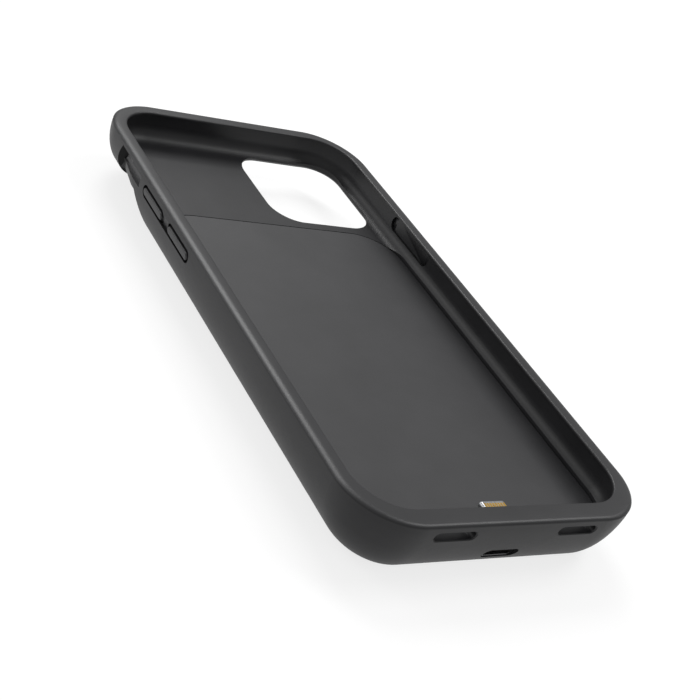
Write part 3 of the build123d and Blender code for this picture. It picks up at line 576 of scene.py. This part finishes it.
crown_start = asin(1 - crown_drop / crown_rise)
rings = [(rim_ring(0, 0), rim_under)]
for step in range(crown_steps + 1):
    turn = crown_start + (pi / 2 - crown_start) * step / crown_steps
    reach = cos(crown_start) - cos(turn)
    rings.append((rim_ring(side_crown * reach, end_crown * reach), rim_top - crown_rise * (1 - sin(turn))))
for step in range(edge_steps + 1):
    turn = step / edge_steps * pi / 2
    rings.append((bay_ring(lip_edge * (1 - sin(turn)) - lip_reach), rim_top - lip_edge * (1 - cos(turn))))
rings += [
    (bay_ring(-lip_reach), lip_under),
    (bay_ring(0), lip_under),
    (bay_ring(0), tongue_foot),
    (bay_ring(tongue_width), tongue_foot),
    (bay_ring(tongue_width), rim_under),
]
rim_edit = bmesh.new()
loops = [[rim_edit.verts.new((x, y, height)) for x, y in ring] for ring, height in rings]
for near, far in zip(loops, loops[1:] + loops[:1]):
    for i in range(len(near)):
        rim_edit.faces.new((near[i - 1], near[i], far[i], far[i - 1]))
bmesh.ops.recalc_face_normals(rim_edit, faces=rim_edit.faces)
rim = keep_mesh("front_frame_moulding", rim_edit, satin_elastomer)
for face in rim.data.polygons:
    face.use_smooth = True
rim.data.set_sharp_from_angle(angle=rim_crease_angle)
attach(rim, "case")
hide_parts("front_frame")

# Floor: a plain studio floor, not part of the object. It is matte grey paper that keeps the case's shadow.
# It glows where the camera, glass or a mirror sees it, so it looks white with no more light on the case.
floor_reach = 6
floor_gap = 0.00005
seen_glow = 0.77
mirrored_glow = 0.6
white_floor = start_material("white_studio_floor", Base_Color=linear("#8c8c8c"), Roughness=0.9,
                             Emission_Color=linear("#ffffff"))
tree = white_floor.node_tree
path = add_node(tree, "ShaderNodeLightPath").outputs
direct = add_node(tree, "ShaderNodeMath", links={0: path["Is Camera Ray"], 1: path["Is Transmission Ray"]},
                  operation="MAXIMUM")
seen = add_node(tree, "ShaderNodeMath", {1: seen_glow}, {0: direct.outputs[0]}, operation="MULTIPLY")
mirrored = add_node(tree, "ShaderNodeMath", {1: mirrored_glow}, {0: path["Is Glossy Ray"]},
                    operation="MULTIPLY")
glow = add_node(tree, "ShaderNodeMath", links={0: seen.outputs[0], 1: mirrored.outputs[0]},
                operation="MAXIMUM")
tree.links.new(glow.outputs[0], tree.nodes["Principled BSDF"].inputs["Emission Strength"])
floor_edit = bmesh.new()
bmesh.ops.create_grid(floor_edit, x_segments=1, y_segments=1, size=floor_reach,
                      matrix=Matrix.Translation((0, 0, -floor_gap)))
floor = keep_mesh("studio_floor", floor_edit, white_floor)

# Light: an even, dim white room with three soft boxes: high behind the case, high on its right,
# and lower behind it on its left.
room_light = 0.45
world = bpy.data.worlds.new("studio_room")
world.use_nodes = True
room = world.node_tree.nodes["Background"].inputs
room["Color"].default_value = linear("#ffffff")
room["Strength"].default_value = room_light
bpy.context.scene.world = world
for name, power, size, place in (
    ("soft_box_back", 4.2, 0.4, (0.12, 0.66, 0.74)),
    ("soft_box_right", 2.9, 0.4, (0.6, 0.04, 0.8)),
    ("soft_box_left", 1.5, 0.4, (-0.63, 0.65, 0.43)),
):
    soft_box = bpy.data.lights.new(name, "AREA")
    soft_box.energy = power
    soft_box.size = size
    holder = bpy.data.objects.new(name, soft_box)
    holder.location = place
    holder.rotation_euler = (-holder.location).to_track_quat("-Z", "Y").to_euler()
    bpy.context.scene.collection.objects.link(holder)

# Camera: over the chin end on the left, looking down along the case and turned on its own axis.
viewpoint = Vector((-0.18295, -0.20934, 0.1556))
right = Vector((0.8082, -0.4379, 0.3935))
up = Vector((-0.0403, 0.6257, 0.7790))
ahead = Vector((0.5874, 0.6455, -0.4881))
camera = bpy.data.cameras.new("camera")
camera.sensor_width = 36
camera.lens = 69.35
viewer = bpy.data.objects.new("camera", camera)
viewer.matrix_world = Matrix.Translation(viewpoint) @ Matrix((right, up, -ahead)).transposed().to_4x4()
bpy.context.scene.collection.objects.link(viewer)
bpy.context.scene.camera = viewer

bpy.context.scene.view_settings.view_transform = "Standard"
